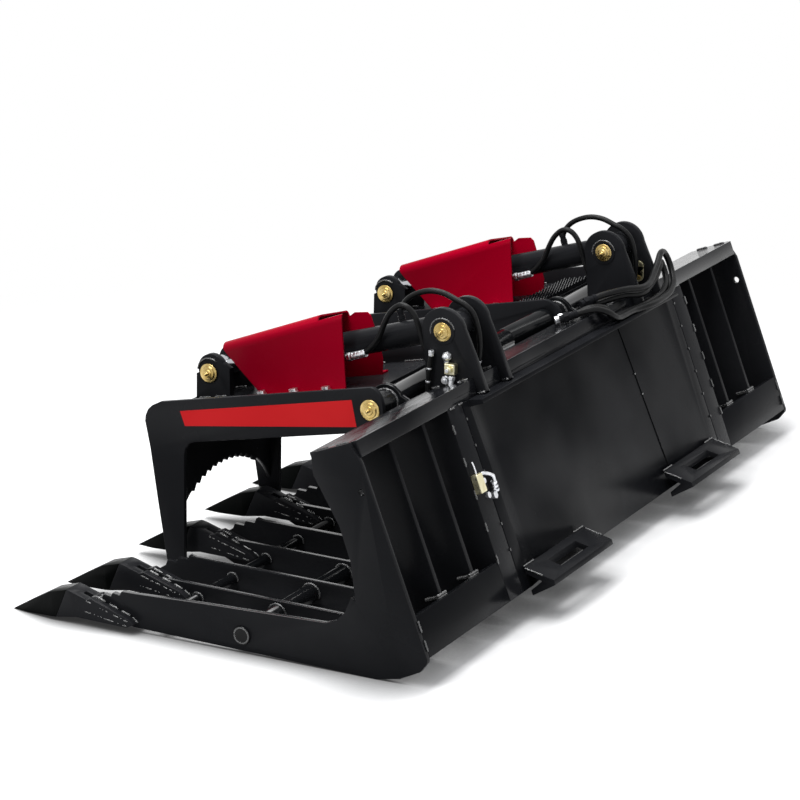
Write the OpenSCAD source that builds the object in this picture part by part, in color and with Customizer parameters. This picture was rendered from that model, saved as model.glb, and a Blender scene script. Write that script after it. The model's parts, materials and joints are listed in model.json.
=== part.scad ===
/* [Basket] */
// Width over the two end plates
width = 1981; // [1600:1:2200]
// Thickness of the end plates and of the tines
plate_t = 12; // [10:1:14]
// Number of tines with the two end plates
tine_count = 15; // [13:2:17]
// Reach of a tine from the heel to its front end
tine_reach = 821; // [780:1:880]
// Height of a tine's bar
tine_h = 63; // [56:1:70]
// Height of an end plate's bar
end_bar_h = 94; // [80:1:100]
// Length of the sloping back, from the heel to its top
back_h = 467; // [450:1:490]
// Lean of the back from upright, in degrees
rake = 21.15; // [18:0.05:23]
// Height of the back's lower corner
heel_z = 63.5; // [58:0.5:70]
// Where the flat underside starts
heel_y = 118; // [110:1:130]
// Depth of the uprights
upright_d = 98; // [84:1:104]

/* [Cross members] */
// Radius of the tube through the tines
tube_r = 20; // [14:0.5:22]
// How far the tube lies behind the tines' front end
tube_back = 382; // [340:1:420]
// Radius of the rod near the front
rod_r = 12; // [8:0.5:16]
// How far the front rod lies behind the tines' front end
rod_back = 181; // [160:1:200]
// Depth of the top beam
beam_d = 118; // [116:1:130]
// Wall of the top beam
beam_t = 10; // [6:1:12]
// Height of the top beam's back
beam_h = 36; // [30:1:42]

/* [Loader plate] */
// Half width of the loader plate
panel_half_w = 552; // [540:1:556]
// Thickness of the loader plate
panel_t = 8; // [6:1:10]
// Length of the lip that hooks over the loader's top edge
lip_reach = 34; // [26:1:40]
// Half width of the lip
lip_half_w = 524; // [500:1:536]
// Distance between the two latch pin slots, centre to centre
slot_pitch = 750; // [700:1:800]
// Length of a latch pin slot
slot_w = 137; // [110:1:150]
// Width of a slot bracket
bracket_w = 298; // [260:1:320]
// How far a slot bracket stands out of the back
bracket_d = 62; // [50:1:70]

/* [Teeth] */
// Length of a tooth from its shoulder to its tip
tooth_len = 158; // [130:1:180]
// Width of a tooth at its shoulder
tooth_w = 52; // [44:1:56]
// Width of a tooth at its tip
tooth_tip_w = 13; // [8:1:20]
// Height of a tooth at its shoulder
tooth_h = 68; // [60:1:72]

/* [Arms] */
// Width over an arm's two plates
arm_w = 421; // [413:1:429]
// Thickness of the arm plates
arm_t = 12; // [10:1:14]
// Reach of an arm from its pivot to its nose
arm_reach = 583; // [560:1:600]
// Height of an arm from the leg's foot to the pivot
arm_drop = 435; // [430:1:438]
// Depth of the deck below the arm's top edge
deck_drop = 35; // [30:1:38]
// Thickness of the deck
deck_t = 8; // [6:1:10]
// Largest opening of an arm, in degrees
open_angle = 50; // [35:1:52]
// Number of saw teeth on the jaw's arch
jaw_teeth = 12; // [8:1:14]
// Depth of a saw tooth on the jaw's arch
jaw_tooth_h = 11; // [6:1:13]

/* [Cylinders] */
// Outer radius of the barrel
barrel_r = 29; // [26:0.5:30]
// Length of the barrel from its pin to its open end
barrel_len = 380; // [360:1:388]
// Radius of the piston rod
piston_rod_r = 16; // [13:0.5:18]
// Radius of the cylinder pins
cyl_pin_r = 12.5; // [10:0.5:14]
// Radius of the arm pivot pins
arm_pin_r = 16; // [13:0.5:18]

/* [Hidden] */

// One overrun for every cut
cut = 1;
// Room of a welded or bolted piece in its hole
seat_gap = 0.3;
// Radial room of a pin that turns
run_gap = 0.08;
$fn = 64;

// Rows of teeth: a long tooth on the outer and middle tines, a short one on others
end_tooth_places = [0, (tine_count - 1) / 2, tine_count - 1];
mid_tooth_places = [1, 3, 5, tine_count - 6, tine_count - 4, tine_count - 2];
tine_pitch = (width - plate_t) / (tine_count - 1);
tube_y = tine_reach - tube_back;
rod_y = tine_reach - rod_back;
// Room between the raked sheets and the lower corner
sheet_lift = 2;

// The back is laid out in its own leaning frame: along it, and forward from it
function back(fwd, along) = [along * sin(rake) + fwd * cos(rake),
                             heel_z + along * cos(rake) - fwd * sin(rake)];
function tine_x(i) = -(width - plate_t) / 2 + i * tine_pitch;

// Place of a tooth's shoulder on the end plates, and the step up and back on inner tines
adaptor_reach = 52;
adaptor_seat = 1;
tooth_y = tine_reach + adaptor_reach;
tooth_z = tine_h - adaptor_seat;
mid_tooth_back = 42;
mid_tooth_up = 22;
tip_drop_share = 1.15;
tip_y = tooth_y + tooth_len;
tip_z = tooth_z - tip_drop_share * tooth_h;

// The grapple stands on its heel and on its end teeth, which tips it up a little
tilt = atan(-tip_z / (tip_y - heel_y));
bracket_top = 50;
bracket_low = 8;
bracket_back = back(-bracket_d, bracket_low);
function parked_y(p) = heel_y + (p[0] - heel_y) * cos(tilt) - p[1] * sin(tilt);
middle_y = (parked_y(bracket_back) + parked_y([tip_y, tip_z])) / 2;

module parked() {
    translate([0, heel_y - middle_y, 0])
    rotate([tilt, 0, 0])
    translate([0, -heel_y, 0])
    children();
}

// A flat profile in forward and up, given a thickness along the width
module sheet(x, t) {
    translate([x, 0, 0])
    rotate([90, 0, 90])
    linear_extrude(t)
    children();
}

module along_width(x, len, y, z, r) {
    translate([x, y, z])
    rotate([0, 90, 0])
    cylinder(h = len, r = r);
}

module raked() {
    translate([0, 0, heel_z])
    rotate([-rake, 0, 0])
    children();
}

module mirrored(side) {
    mirror([side < 0 ? 0 : 1, 0, 0])
    children();
}

// Basket: end plates and tines
heel_shares = [[1, 0], [0.53, 0.19], [0.14, 0.56], [0.006, 0.9], [0, 1]];
heel = [for (s = heel_shares) [s[0] * heel_y, s[1] * heel_z]];
end_top_cut = 44;
end_top_d = 96;
end_top_shares = [[0, 1], [0.146, 0], [1, 0], [1.146, 0.27], [1.23, 1]];
end_front_shares = [[1, 0.66], [1.02, 0.5], [1.22, 0.32]];
end_corner_shares = [[1.8, 1.766], [1.94, 1.415], [2.16, 1.17], [2.43, 1.064]];
end_bar_shares = [[0.45, 1], [0.66, 0.915], [0.858, 0.813]];
end_nose_shares = [[1, 0.52], [1.02, 0.15], [0.868, 0]];
inner_r = 60;
saw_step_share = 0.028;
saw_rise_share = 0.07;

end_profile = concat(
    heel,
    [for (s = end_top_shares) back(s[0] * end_top_d, back_h - s[1] * end_top_cut)],
    [for (s = end_front_shares) back(s[0] * upright_d, s[1] * back_h)],
    [for (s = end_corner_shares) [s[0] * upright_d, s[1] * end_bar_h]],
    [for (s = end_bar_shares) [s[0] * tine_reach, s[1] * end_bar_h]],
    [for (i = [0:2]) each [
        [tine_reach * (0.904 + saw_step_share * i), end_bar_h * (0.8 - saw_rise_share * i)],
        [tine_reach * (0.91 + saw_step_share * i), end_bar_h * (0.7 - saw_rise_share * i)]]],
    [for (s = end_nose_shares) [s[0] * tine_reach, s[1] * end_bar_h]]);

sight_hole_r = 8;
sight_hole = back(upright_d * 0.2, back_h * 0.78);

module end_plate(side) {
    color("#1d1f23")
    parked()
    mirrored(side)
    sheet(-width / 2, plate_t)
    difference() {
        polygon(end_profile);
        translate(sight_hole)
        circle(r = sight_hole_r);
        translate([tube_y, tube_z])
        circle(r = tube_r + seat_gap);
    }
}

tube_lift = 3;
tube_z = tine_h / 2 + tube_lift;
tine_back = 14;
tine_heel = [[heel_y + tine_back, 0], [heel_y * 0.6 + tine_back, heel_z * 0.17],
    [heel_y * 0.2 + tine_back, heel_z * 0.6], back(tine_back, sheet_lift)];

// A tine with a tooth ends square under the adaptor, one without ends in a saw-toothed nose
square_nose = [[tine_reach * 0.87, tine_h], [tine_reach * 0.955, tine_h * 0.8],
    [tine_reach * 0.955, tine_h * 0.5], [tine_reach * 0.868, 0]];
saw_nose = concat(
    [[tine_reach * 0.9, tine_h]],
    [for (i = [0:2]) each [
        [tine_reach * (0.918 + 0.036 * i), tine_h * (1.05 - 0.18 * i)],
        [tine_reach * (0.924 + 0.036 * i), tine_h * (0.86 - 0.18 * i)]]],
    [[tine_reach * 1.024, tine_h * 0.27], [tine_reach * 0.99, tine_h * 0.1],
     [tine_reach * 0.868, 0]]);

module tine_shape(nose) {
    corner_along = (tine_h - heel_z + upright_d * sin(rake)) / cos(rake);
    corner = back(tine_back + upright_d, corner_along);
    difference() {
        polygon(concat(tine_heel, [back(tine_back, back_h - beam_t),
            back(tine_back + upright_d, back_h - beam_t), back(tine_back + upright_d, inner_r * 2.6),
            [corner[0] + inner_r * 0.3, tine_h + inner_r * 0.62],
            [corner[0] + inner_r * 0.72, tine_h + inner_r * 0.2],
            [corner[0] + inner_r * 1.4, tine_h]], nose));
        translate([tube_y, tube_z])
        circle(r = tube_r + seat_gap);
        translate([rod_y, tine_h / 2])
        circle(r = rod_r + seat_gap);
    }
}

function has_tooth(i) = len(search(i, concat(end_tooth_places, mid_tooth_places))) > 0;

module tine(i) {
    color("#1d1f23")
    parked()
    sheet(tine_x(i) - plate_t / 2, plate_t)
    tine_shape(has_tooth(i) ? square_nose : saw_nose);
}

// Teeth, and the forked adaptors that carry them on the tines
shoulder_lean = 30;
nose_flat = 12;
cheek_t = 20;

module adaptor_shape() {
    polygon([[-tooth_len * 1.1, -tooth_h * 0.72], [-tooth_len * 0.97, -tooth_h * 0.86],
        [-tooth_len * 0.15, -tooth_h * 0.86], [shoulder_lean, -tooth_h],
        [0, 0], [-nose_flat, -tooth_h * 0.03], [-tooth_len * 0.33, -tooth_h * 0.2],
        [-tooth_len * 0.4, -tooth_h * 0.14], [-tooth_len, -tooth_h * 0.56]]);
}

module adaptor(x, y, z) {
    translate([0, y, z])
    difference() {
        sheet(x - tooth_w / 2, tooth_w)
        adaptor_shape();
        translate([x - plate_t / 2, -tooth_len * 2, -tooth_h * 2])
        cube([plate_t, tooth_len * 2 - tooth_len * 0.2, tooth_h * 4]);
    }
}

module tooth(x, y, z) {
    translate([x, y, z])
    intersection() {
        sheet(-tooth_w / 2, tooth_w)
        polygon([[0, 0], [shoulder_lean, -tooth_h], [tooth_len * 0.7, -tooth_h * 1.12],
            [tooth_len, -tooth_h * tip_drop_share], [tooth_len * 0.62, -tooth_h * 0.62],
            [tooth_len * 0.3, -tooth_h * 0.2]]);
        translate([0, 0, -tooth_h * 2])
        linear_extrude(tooth_h * 3)
        polygon([[-tooth_w / 2, -cut], [tooth_w / 2, -cut], [tooth_w / 2, tooth_len * 0.25],
            [tooth_tip_w, tooth_len * 0.8], [tooth_tip_w / 2, tooth_len + cut],
            [-tooth_tip_w / 2, tooth_len + cut], [-tooth_tip_w, tooth_len * 0.8],
            [-tooth_w / 2, tooth_len * 0.25]]);
    }
}

module tooth_adaptors() {
    color("#191b1f")
    parked() {
        for (i = end_tooth_places)
            adaptor(tine_x(i), tooth_y, tooth_z);
        for (i = mid_tooth_places)
            adaptor(tine_x(i), tooth_y - mid_tooth_back, tooth_z + mid_tooth_up);
    }
}

module teeth() {
    color("#15171a")
    parked() {
        for (i = end_tooth_places)
            tooth(tine_x(i), tooth_y, tooth_z);
        for (i = mid_tooth_places)
            tooth(tine_x(i), tooth_y - mid_tooth_back, tooth_z + mid_tooth_up);
    }
}

// Cross members
tube_stub = 4;

module cross_tube() {
    color("#202226")
    parked()
    along_width(-width / 2 - tube_stub, width + 2 * tube_stub, tube_y, tube_z, tube_r);
}

module front_rod() {
    color("#202226")
    parked()
    along_width(-width / 2 + plate_t, width - 2 * plate_t, rod_y, tine_h / 2, rod_r);
}

strip_w = 55;
web_t = 8;
strip_gap = 2;
strip_out = panel_half_w + strip_gap + strip_w;
section_x = strip_out + web_t;
lower_h = 90;

module lower_plates() {
    color("#1d1f23")
    parked()
    for (side = [-1, 1])
        mirrored(side)
        raked()
        translate([-width / 2 + plate_t, 0, sheet_lift])
        cube([width / 2 - plate_t - section_x, tine_back, lower_h]);
}

beam_lip_t = 4;

module top_beam() {
    inside = width - 2 * plate_t;
    color("#202226")
    parked()
    raked()
    translate([-inside / 2, 0, back_h - beam_h])
    difference() {
        cube([inside, beam_d, beam_h]);
        translate([-cut, beam_t, -cut])
        cube([inside + 2 * cut, beam_d - beam_t - beam_lip_t, beam_h - beam_t + cut]);
    }
}

// Loader plate: dished panel with a hook lip, side strips and slot brackets
panel_top = back_h - beam_h;
dish = tine_back - panel_t;
dish_in = 44;
lip_t = 10;
lip_droop = 6;

module loader_plate() {
    color("#1a1c20")
    parked()
    raked() {
        translate([0, 0, sheet_lift])
        linear_extrude(panel_top - sheet_lift)
        polygon([[-panel_half_w, 0], [-panel_half_w + dish_in, 0],
            [-panel_half_w + 2 * dish_in, dish], [panel_half_w - 2 * dish_in, dish],
            [panel_half_w - dish_in, 0], [panel_half_w, 0], [panel_half_w, panel_t],
            [panel_half_w - dish_in, panel_t], [panel_half_w - 2 * dish_in, dish + panel_t],
            [-panel_half_w + 2 * dish_in, dish + panel_t], [-panel_half_w + dish_in, panel_t],
            [-panel_half_w, panel_t]]);
        sheet(-lip_half_w, 2 * lip_half_w)
        polygon([[panel_t, panel_top], [0, panel_top], [-lip_reach, panel_top - lip_droop],
            [-lip_reach, panel_top - lip_droop - lip_t], [0, panel_top - lip_t - lip_droop],
            [panel_t, panel_top - lip_t - lip_droop]]);
    }
}

module side_strip(side) {
    color("#1d1f23")
    parked()
    mirrored(side)
    raked()
    translate([-section_x, 0, sheet_lift])
    linear_extrude(panel_top - sheet_lift)
    polygon([[0, 0], [web_t + strip_w, 0], [web_t + strip_w, panel_t], [web_t, panel_t],
        [web_t, tine_back + upright_d], [0, tine_back + upright_d]]);
}

bracket_t = 12;

module slot_bracket(side) {
    color("#17191c")
    parked()
    mirrored(side)
    raked()
    difference() {
        sheet(-slot_pitch / 2 - bracket_w / 2, bracket_w)
        polygon([[0, bracket_top], [-bracket_d, bracket_low], [-bracket_d, bracket_low - bracket_t],
            [0, bracket_low - bracket_t * 2], [0, bracket_low - bracket_t],
            [-bracket_d + bracket_t * 2.4, bracket_low + bracket_t * 0.2],
            [0, bracket_top - bracket_t * 1.3]]);
        sheet(-slot_pitch / 2 - slot_w / 2, slot_w)
        polygon([[-bracket_d * 0.28, bracket_top + cut], [-bracket_d * 0.28, bracket_low - 4 * bracket_t],
            [-bracket_d * 0.72, bracket_low - 4 * bracket_t], [-bracket_d * 0.72, bracket_top + cut]]);
    }
}

// Ears for the cylinders, the arm pivots and their pins
base_pin = [242, 593];
pivot = [333, 445];
rod_pin = [851, 412];
arm_pitches = 3;
arm_x = arm_pitches * tine_pitch;
cyl_inset = 9.9;
cyl_x = arm_x - cyl_inset;
ear_t = 16;
ear_gap = 96;
ear_r = 52;
ear_lip_reach = 22;
ear_down = 27;
ear_seat = 0.2;

module base_ear_shape() {
    difference() {
        union() {
            translate(base_pin)
            circle(r = ear_r);
            polygon([back(-ear_lip_reach, panel_top + ear_seat), back(0, panel_top + ear_seat),
                back(0, back_h), back(beam_d, back_h), back(beam_d, back_h - ear_down),
                back(beam_d + ear_r * 0.27, back_h - ear_down * 1.22),
                base_pin + [0.86, -1] * ear_r, base_pin + [1, 0] * ear_r,
                base_pin + [-0.98, 0.2] * ear_r, base_pin + [-1.48, -0.9] * ear_r]);
        }
        translate(base_pin)
        circle(r = cyl_pin_r + seat_gap);
    }
}

module base_ears(side) {
    color("#202226")
    parked()
    mirrored(side)
    for (x = [-cyl_x - ear_gap / 2 - ear_t, -cyl_x + ear_gap / 2])
        sheet(x, ear_t)
        base_ear_shape();
}

pivot_tube_r = 28;
lug_t = 12;
lug_r = 40;
lug_places = [-0.32, 0.32];
arm_inner_w = arm_w - 2 * arm_t;
arm_side_gap = 1;
lug_seat = 2;

// The two pivot tubes meet in the middle and carry the arms' inner plates
module pivot_tube(side) {
    tube_end = arm_x + arm_inner_w / 2 - arm_side_gap;
    color("#202226")
    parked()
    mirrored(side)
    difference() {
        union() {
            along_width(-tube_end, tube_end, pivot[0], pivot[1], pivot_tube_r);
            for (s = lug_places)
                sheet(-arm_x + s * arm_w - lug_t / 2, lug_t)
                union() {
                    translate(pivot)
                    circle(r = lug_r);
                    polygon([back(beam_d, back_h - lug_seat), back(beam_d, back_h - beam_h),
                        pivot - [0.3, 0.95] * lug_r, pivot + [0.2, 0.97] * lug_r]);
                }
        }
        along_width(-tube_end - cut, tube_end + 2 * cut, pivot[0], pivot[1], arm_pin_r + run_gap);
    }
}

// Arms
nose_y = pivot[0] + arm_reach;
foot_z = pivot[1] - arm_drop;
arm_slope = 0.2044;
arm_eye_r = 50;
band_h = 94;
band_start = 80;
leg_top_d = 95;
leg_foot_d = 47;
leg_gap = 8;
function arm_top(y) = pivot[1] + arm_eye_r - (y - pivot[0]) * arm_slope;

// The nose is given in shares of the leg's depth, the leg in shares of its depth and height
arm_nose_shares = [[0.44, -0.09], [0.21, 0.03], [0.095, 0.137], [0.02, 0.295], [0, 0.44],
    [0.126, 1.07]];
leg_front_shares = [[0.305, 0.322], [0.526, 0]];
leg_back_shares = [[0, 0.595], [0.042, 0.634], [0.147, 0.662], [0.316, 0.676]];
eye_steps = 14;

module arm_shape(eye_share, hole_r) {
    leg_back = nose_y - leg_top_d - leg_gap;
    band_y = pivot[0] + arm_eye_r + band_start;
    difference() {
        polygon(concat(
            [for (s = arm_nose_shares)
                [nose_y - s[0] * leg_top_d, arm_top(nose_y) - s[1] * leg_top_d]],
            [for (s = leg_front_shares) [nose_y - s[0] * leg_top_d, foot_z + s[1] * arm_drop]],
            [[nose_y - leg_top_d * 0.526 - leg_foot_d, foot_z + arm_drop * 0.018]],
            [for (s = leg_back_shares) [leg_back - s[0] * leg_top_d, foot_z + s[1] * arm_drop]],
            [[band_y, arm_top(band_y) - band_h * 1.05]],
            [for (k = [0:eye_steps]) let (a = 180 - k * 180 / eye_steps)
                pivot + [-eye_share * sin(a), cos(a)] * arm_eye_r]));
        translate(pivot)
        circle(r = hole_r);
    }
}

// The outer plate turns with its pin, the inner one turns round the pivot tube
module arm_outer(side) {
    color("#1b1d21")
    parked()
    mirrored(side)
    sheet(-arm_x - arm_w / 2, arm_t)
    arm_shape(0.62, arm_pin_r + seat_gap);
}

module arm_inner(side) {
    color("#1b1d21")
    parked()
    mirrored(side)
    sheet(-arm_x + arm_w / 2 - arm_t, arm_t)
    arm_shape(0.96, pivot_tube_r + run_gap);
}

deck_start = 62;
deck_stop = 18;
deck_back = pivot[0] + deck_start;
deck_front = nose_y - deck_stop;
bolt_r = 6;
bolt_places = [524, 608, 692];
guard_w = 137;
guard_left_x = -cyl_x - guard_w / 2;
guard_right_x = -cyl_x + guard_w / 2;
guard_t = 4;
flange_w = 26;
bolt_inset = 13;
function deck_z(y) = arm_top(y) - deck_drop;

// Where the guard's bolts go through the deck, as seen on the left arm
bolt_xs = [guard_left_x - bolt_inset, guard_right_x + bolt_inset];

module at_bolts() {
    for (x = bolt_xs, y = bolt_places)
        translate([x, y, deck_z(y)])
        rotate([-atan(arm_slope), 0, 0])
        children();
}

module bolt_holes() {
    at_bolts()
    translate([0, 0, -deck_t * 3])
    cylinder(h = deck_t * 6, r = bolt_r + seat_gap, $fn = 32);
}

// The guards are alike on both arms, so the right arm's is moved across and not mirrored
module on_arm(side) {
    translate([side < 0 ? 0 : 2 * cyl_x, 0, 0])
    children();
}

module arm_deck(side) {
    color("#202226")
    parked()
    difference() {
        mirrored(side)
        sheet(-arm_x - arm_inner_w / 2, arm_inner_w)
        polygon([[deck_back, deck_z(deck_back)], [deck_front, deck_z(deck_front)],
            [deck_front, deck_z(deck_front) - deck_t], [deck_back, deck_z(deck_back) - deck_t]]);
        on_arm(side)
        bolt_holes();
    }
}

// The jaw: a plate between the legs whose lower edge is a saw-toothed arch
jaw_back = 76;
jaw_seat = 1;
jaw_y = nose_y - jaw_back;
arch_top = 200;
arch_over = 14;
arch_a = arm_inner_w / 2 + arch_over;
arch_b = 165;
saw_half = 141;
function arch_z(x) = arch_top - arch_b * (1 - sqrt(max(0, 1 - pow(x / arch_a, 2))));

module arm_jaw(side) {
    saw_pitch = 2 * saw_half / jaw_teeth;
    jaw_top = deck_z(jaw_y + arm_t) - deck_t - jaw_seat;
    half = arm_inner_w / 2;
    arch = concat(
        [for (k = [0:5]) let (x = -half + (half - saw_half) * k / 5) [x, arch_z(x)]],
        [for (k = [0:jaw_teeth - 1]) let (x = -saw_half + saw_pitch * (k + 0.5)) each [
            [x, arch_z(x) - jaw_tooth_h], [x + saw_pitch * 0.45, arch_z(x + saw_pitch * 0.45)]]],
        [for (k = [0:5]) let (x = saw_half + (half - saw_half) * k / 5) [x, arch_z(x)]]);
    color("#16181b")
    parked()
    mirrored(side)
    translate([-arm_x, jaw_y + arm_t, 0])
    rotate([90, 0, 0])
    linear_extrude(arm_t)
    polygon(concat(arch, [[half, jaw_top], [-half, jaw_top]]));
}

rod_ear_gap = 72;
rod_ear_r = 35;
rod_ear_shift = [-6, 10];
rod_ear_shares = [[0.98, -0.14], [1.03, -1], [-1.57, -1], [-1.57, 0.48], [-1.03, 0.8]];

module rod_ear_shape() {
    difference() {
        union() {
            translate(rod_pin + rod_ear_shift)
            circle(r = rod_ear_r);
            polygon([for (s = rod_ear_shares)
                let (y = rod_pin[0] + s[0] * rod_ear_r)
                [y, s[1] == -1 ? deck_z(y) : rod_pin[1] + s[1] * rod_ear_r]]);
        }
        translate(rod_pin)
        circle(r = cyl_pin_r + pin_float);
    }
}

// The arm's hinge and the cylinder turn about different points, which needs this room
pin_float = 8.9;

module rod_ears(side) {
    color("#202226")
    parked()
    mirrored(side)
    for (x = [-cyl_x - rod_ear_gap / 2 - ear_t, -cyl_x + rod_ear_gap / 2])
        sheet(x, ear_t)
        rod_ear_shape();
}

// Guard over the rod: a sheet bent over two radii, with a longer wall on its right
guard_nose = [805, 481];
guard_tail = [493, 600];
guard_foot_front = 700;
guard_foot_back = 482;
roof_end = 556;
roof_fall = 7;
bend_r = 10;
right_foot_back = 464;
right_tail = [[536, 568], [503, 573], [494, 566], [487, 546], [right_foot_back, 472]];
guard_dip = atan2(guard_tail[1] - guard_nose[1], guard_nose[0] - guard_tail[0]);
guard_run = norm(guard_nose - guard_tail);
guard_top = 2 * bend_r;
guard_deep = 2 * guard_w;
function along_roof(y, up) = [y + up * sin(guard_dip),
                              guard_nose[1] + (guard_nose[0] - y) * tan(guard_dip) + up * cos(guard_dip)];
function arc(at, r, from, to) = [for (k = [0:4]) let (a = from + (to - from) * k / 4)
    at + r * [cos(a), sin(a)]];

// The sheet's section: left wall, bend, a roof that falls to the right, bend, right wall
left_bend = [bend_r, 0];
right_bend = [guard_w - bend_r, -(guard_w - 2 * bend_r) * tan(roof_fall)];
guard_section = concat(
    [[0, -guard_deep]], arc(left_bend, bend_r, 180, 90 - roof_fall),
    arc(right_bend, bend_r, 90 - roof_fall, 0), [[guard_w, -guard_deep]],
    [[guard_w - guard_t, -guard_deep]], arc(right_bend, bend_r - guard_t, 0, 90 - roof_fall),
    arc(left_bend, bend_r - guard_t, 90 - roof_fall, 180), [[guard_t, -guard_deep]]);

// Both walls' outlines start with the roof's front and back ends
roof_outline = [guard_nose, along_roof(guard_nose[0], guard_top), along_roof(roof_end, guard_top)];
left_outline = concat(roof_outline, [along_roof(roof_end, 0), guard_tail,
    [guard_foot_back, deck_z(guard_foot_back)], [guard_foot_front, deck_z(guard_foot_front)]]);
right_outline = concat(roof_outline, [along_roof(roof_end, -guard_top)], right_tail,
    [[right_foot_back, deck_z(right_foot_back)], [guard_foot_front, deck_z(guard_foot_front)]]);

module guard_part(x, w, outline) {
    intersection() {
        sheet(x, w)
        polygon(outline);
        translate([guard_left_x, guard_nose[0], guard_nose[1]])
        rotate([90 - guard_dip, 0, 0])
        translate([0, 0, -guard_w])
        linear_extrude(guard_run + 2 * guard_w)
        polygon(guard_section);
    }
}

module guard_flange(x, back_y) {
    sheet(x, flange_w)
    polygon([[back_y, deck_z(back_y)], [guard_foot_front, deck_z(guard_foot_front)],
        [guard_foot_front, deck_z(guard_foot_front) + guard_t], [back_y, deck_z(back_y) + guard_t]]);
}

module rod_guard(side) {
    color("#c00028")
    parked()
    on_arm(side)
    difference() {
        union() {
            guard_part(guard_left_x, guard_top, left_outline);
            guard_part(guard_left_x + guard_top, guard_w - guard_top, right_outline);
            guard_flange(guard_left_x - flange_w + guard_t / 2, guard_foot_back);
            guard_flange(guard_right_x - guard_t / 2, right_foot_back);
        }
        bolt_holes();
    }
}

bolt_run_gap = 0.2;
washer_share = 0.3;
head_share = 1.2;
nut_share = 1.3;

module guard_bolts(side) {
    nut_h = bolt_r * nut_share;
    shank_low = deck_t + bolt_r * 1.4;
    color("silver")
    parked()
    on_arm(side)
    at_bolts() {
        translate([0, 0, -shank_low])
        cylinder(h = shank_low + guard_t + bolt_r * washer_share, r = bolt_r - bolt_run_gap, $fn = 32);
        translate([0, 0, guard_t + seat_gap])
        cylinder(h = bolt_r * washer_share, r = bolt_r * 2, $fn = 32);
        translate([0, 0, guard_t + seat_gap + bolt_r * washer_share])
        cylinder(h = bolt_r * head_share, r = bolt_r * 1.7, $fn = 6);
        translate([0, 0, -deck_t - nut_h - seat_gap])
        cylinder(h = nut_h, r = bolt_r * 1.7, $fn = 6);
    }
}

pivot_pin_len = 96;
head_t = 7;
pivot_head_r = 23.5;

module headed_pin(len, r, head_r) {
    along_width(0, len, 0, 0, r);
    along_width(-head_t * 0.5, head_t * 0.5, 0, 0, head_r);
    along_width(-head_t, head_t * 0.5, 0, 0, head_r * 0.72);
    along_width(-head_t * 1.3, head_t * 0.3, 0, 0, head_r * 0.4);
}

module pivot_pins(side) {
    color("#b79a4a")
    parked()
    mirrored(side)
    translate([-arm_x - arm_w / 2, pivot[0], pivot[1]])
    headed_pin(pivot_pin_len, arm_pin_r, pivot_head_r);
}

// Saw-edged grip strips on the right arm's deck
strip_count = 5;
strip_t = 3;
strip_h = 16;
strip_tooth_w = 18;
strip_back = 400;
strip_step = 14;
strip_lift = 1;

module grip_strips() {
    span = arm_inner_w - 2 * arm_t;
    count = floor(span / strip_tooth_w);
    color("#2a2c30")
    parked()
    translate([arm_x - span / 2, 0, 0])
    for (k = [0:strip_count - 1])
        let (y = strip_back + k * strip_step)
        translate([0, y + strip_t, deck_z(y + strip_t) + strip_lift])
        rotate([90, 0, 0])
        linear_extrude(strip_t)
        polygon(concat([[0, 0]],
            [for (j = [0:count - 1]) each [[strip_tooth_w * j, strip_h * 0.6],
                [strip_tooth_w * (j + 0.5), strip_h]]],
            [[strip_tooth_w * count, strip_h * 0.6], [strip_tooth_w * count, 0]]));
}

// Cylinders, laid out along the line from the base pin to the rod pin
cyl_dir = rod_pin - base_pin;
cyl_len = norm(cyl_dir);
cyl_dip = atan2(-cyl_dir[1], cyl_dir[0]);
knuckle_r = 30;
wall_t = 6;
gland_r = 33;
gland_len = 44;
rod_eye_r = 28;
knuckle_gap = 2;
hose_r = 6.5;
front_port = [-38, 13, 310];
front_port_r = 9;
front_port_turn = atan2(front_port[1], -front_port[0]);
base_port = [12, -32, 138];
base_port_r = 8;

module on_cylinder(side) {
    parked()
    mirrored(side)
    translate([-cyl_x, base_pin[0], base_pin[1]])
    rotate([-90 - cyl_dip, 0, 0])
    children();
}

// The ports are alike on both cylinders, so they are turned back before the mirror
module ports() {
    translate([0, 0, front_port[2]])
    rotate([0, -90, -front_port_turn])
    cylinder(h = norm([front_port[0], front_port[1]]) + front_port_r, r = front_port_r);
    translate([base_port[0], 0, base_port[2]])
    rotate([90, 0, 0])
    cylinder(h = -base_port[1], r = base_port_r);
}

module barrel(side) {
    color("#15161a")
    on_cylinder(side)
    difference() {
        union() {
            cylinder(h = barrel_len - gland_len, r = barrel_r);
            translate([-ear_gap / 2 + knuckle_gap, 0, 0])
            rotate([0, 90, 0])
            cylinder(h = ear_gap - 2 * knuckle_gap, r = knuckle_r);
            scale([-side, 1, 1])
            ports();
        }
        translate([-ear_gap, 0, 0])
        rotate([0, 90, 0])
        cylinder(h = 2 * ear_gap, r = cyl_pin_r + run_gap);
        translate([0, 0, knuckle_r + wall_t])
        cylinder(h = barrel_len, r = barrel_r - wall_t);
    }
}

module gland(side) {
    color("#202226")
    on_cylinder(side)
    translate([0, 0, barrel_len - gland_len])
    difference() {
        cylinder(h = gland_len, r = gland_r);
        translate([0, 0, -cut])
        cylinder(h = gland_len + 2 * cut, r = piston_rod_r + run_gap);
    }
}

rod_stroke = 165;

piston_gap = 2;
piston_h = 28;
piston_run = 0.5;

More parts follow.
